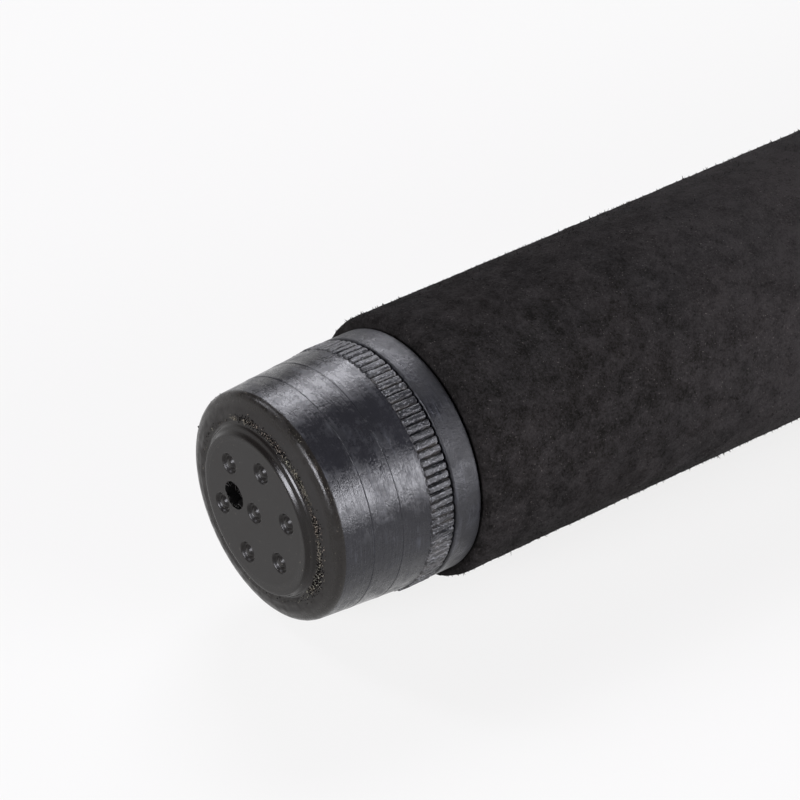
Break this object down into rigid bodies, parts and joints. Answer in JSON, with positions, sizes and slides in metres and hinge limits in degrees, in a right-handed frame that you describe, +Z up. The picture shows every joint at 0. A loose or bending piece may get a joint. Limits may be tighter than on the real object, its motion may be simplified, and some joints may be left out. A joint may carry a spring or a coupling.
{
  "type": "telescopic fishing rod",
  "caption": "Collapsed telescopic fishing rod with a foam grip, screwed rubber butt cap, reel seat with a screwed hood, and ringed sections that slide out.",
  "frame": {"origin": "centre of the bottom of the collapsed rod's box, on the surface it lies on", "axes": "+X along the rod from the butt cap to the tip ring, -Y the side that the guides and the reel seat's flat face, +Z up"},
  "size_m": [0.5972, 0.0584, 0.0309],
  "materials": {
    "cap_rubber": "satin",
    "collar_rubber": "satin",
    "eva_foam": "matte",
    "pad_foam": "matte",
    "seal_rubber": "satin",
    "plug_nylon": "satin",
    "seat_plastic": "satin",
    "dark_steel": "gloss",
    "trim_metal": "satin",
    "ring_ceramic": "polished",
    "blank_lacquer": "gloss",
    "wrap_thread": "gloss"
  },
  "bodies": {
    "handle": {"butt_bush": "collar_rubber", "rear_grip": "eva_foam", "rear_trim_ring": "trim_metal", "seat_body": "seat_plastic", "fixed_hood": "dark_steel", "fore_trim_ring": "trim_metal", "foregrip": "eva_foam", "winding_check": "trim_metal", "base_blank": "blank_lacquer", "base_wrap": "wrap_thread", "guide_1_frame": "dark_steel", "guide_1_ring": "ring_ceramic"},
    "cap_pad": {"silencer_pad": "pad_foam"},
    "butt_cap": {"butt_cap": "cap_rubber", "cap_plug": "plug_nylon", "cap_seal": "seal_rubber"},
    "reel_hood": {"moving_hood": "dark_steel"},
    "lock_nut": {"lock_nut": "seat_plastic"},
    "section_2": {"section_2_blank": "blank_lacquer", "guide_2_frame": "dark_steel", "guide_2_ring": "ring_ceramic"},
    "section_3": {"section_3_blank": "blank_lacquer", "guide_3_frame": "dark_steel", "guide_3_ring": "ring_ceramic"},
    "section_4": {"section_4_blank": "blank_lacquer", "guide_4_frame": "dark_steel", "guide_4_ring": "ring_ceramic"},
    "tip": {"tip_blank": "blank_lacquer", "tip_top_frame": "dark_steel", "tip_top_ring": "ring_ceramic"}
  },
  "joints": [
    {"name": "cap_slide", "type": "slide", "parent": "handle", "child": "cap_pad", "axis": [-1, 0, 0], "range_m": [0, 0.01]},
    {"name": "cap_turn", "type": "hinge", "parent": "cap_pad", "child": "butt_cap", "pos_m": [-0.2986, 0.01375, 0.01545], "axis": [-1, 0, 0], "range_deg": [0, 1800]},
    {"name": "hood_slide", "type": "slide", "parent": "handle", "child": "reel_hood", "axis": [-1, 0, 0], "range_m": [0, 0.03]},
    {"name": "nut_turn", "type": "hinge", "parent": "reel_hood", "child": "lock_nut", "pos_m": [-0.0156, 0.01375, 0.01545], "axis": [-1, 0, 0], "range_deg": [0, 4320]},
    {"name": "section_2_slide", "type": "slide", "parent": "handle", "child": "section_2", "axis": [1, 0, 0], "range_m": [0, 0.4589]},
    {"name": "section_3_slide", "type": "slide", "parent": "section_2", "child": "section_3", "axis": [1, 0, 0], "range_m": [0, 0.4772]},
    {"name": "section_4_slide", "type": "slide", "parent": "section_3", "child": "section_4", "axis": [1, 0, 0], "range_m": [0, 0.4945]},
    {"name": "tip_slide", "type": "slide", "parent": "section_4", "child": "tip", "axis": [1, 0, 0], "range_m": [0, 0.5108]}
  ],
  "couplings": [
    {"joint": "cap_slide", "follows": "cap_turn", "m_per_rad": 0.00031831},
    {"joint": "hood_slide", "follows": "nut_turn", "m_per_rad": 0.00039789}
  ]
}
